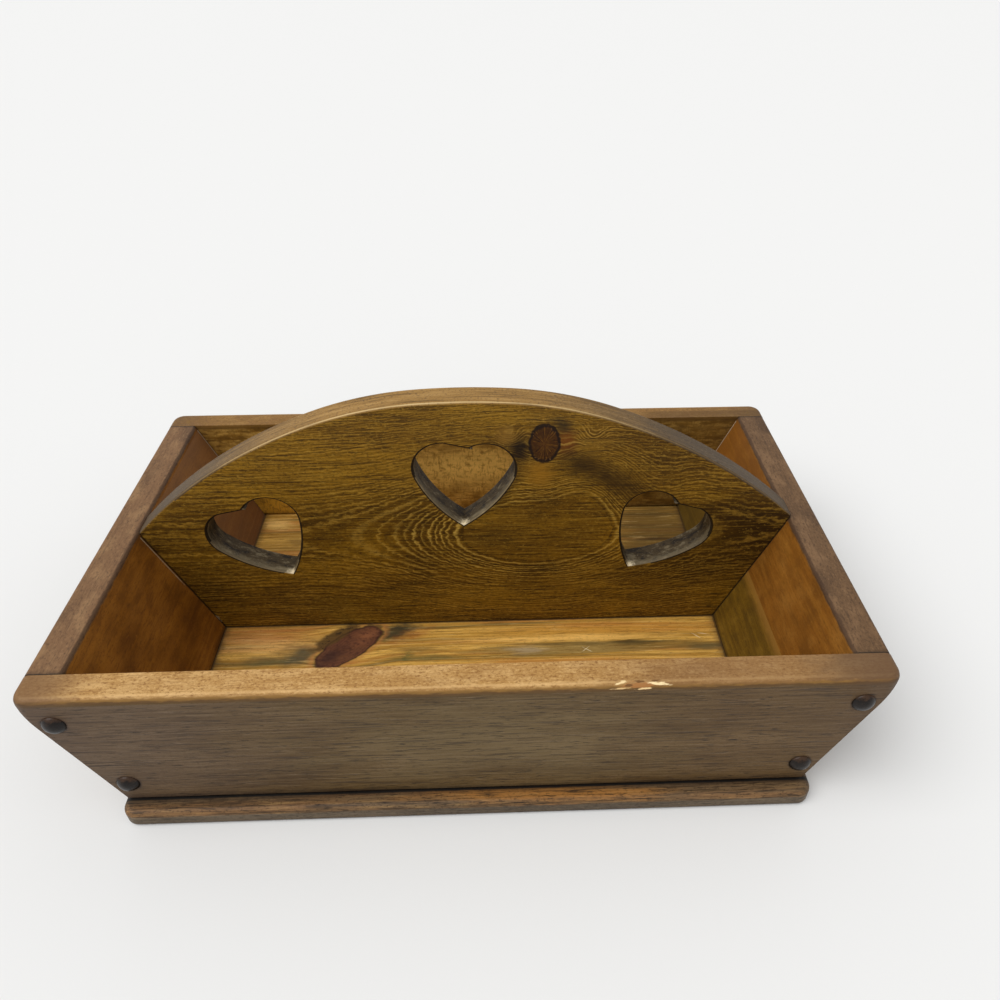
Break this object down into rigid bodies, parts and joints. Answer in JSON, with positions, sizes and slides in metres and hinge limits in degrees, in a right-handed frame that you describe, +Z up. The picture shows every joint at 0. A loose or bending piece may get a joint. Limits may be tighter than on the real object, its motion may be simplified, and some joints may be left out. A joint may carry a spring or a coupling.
{
  "type": "wooden tool tote",
  "caption": "Stained pine tote: an open tray with splayed ends on a projecting base, split by a tall arched handle board with heart-shaped cut-outs.",
  "frame": {"origin": "on the surface the tote stands on, under the middle of its base", "axes": "+X along the tray to the end made of two boards, +Y from the front panel to the back panel, +Z up"},
  "size_m": [0.495, 0.315, 0.209],
  "materials": {
    "base_stain": "stained pine, golden inside the tray and reddish brown at its edges, satin",
    "panel_stain": "stained pine, grey-brown outside with a worn golden rim, satin",
    "end_stain": "stained pine, orange brown, satin",
    "handle_stain": "stained pine, olive brown with a dark knot, grey sawn edges in the cut-outs, satin",
    "button_wood": "hardwood buttons stained near black, satin",
    "screw_steel": "plain steel"
  },
  "bodies": {
    "root": {"base_board": "base_stain", "front_panel": "panel_stain", "back_panel": "panel_stain", "left_end_board": "end_stain", "right_end_lower_board": "end_stain", "right_end_upper_board": "end_stain", "divider_handle": "handle_stain", "front_upper_plugs": "button_wood", "front_lower_plugs": "button_wood", "back_upper_plugs": "button_wood", "back_lower_plugs": "button_wood", "front_upper_screws": "screw_steel", "front_lower_screws": "screw_steel", "back_upper_screws": "screw_steel", "back_lower_screws": "screw_steel"}
  },
  "joints": []
}
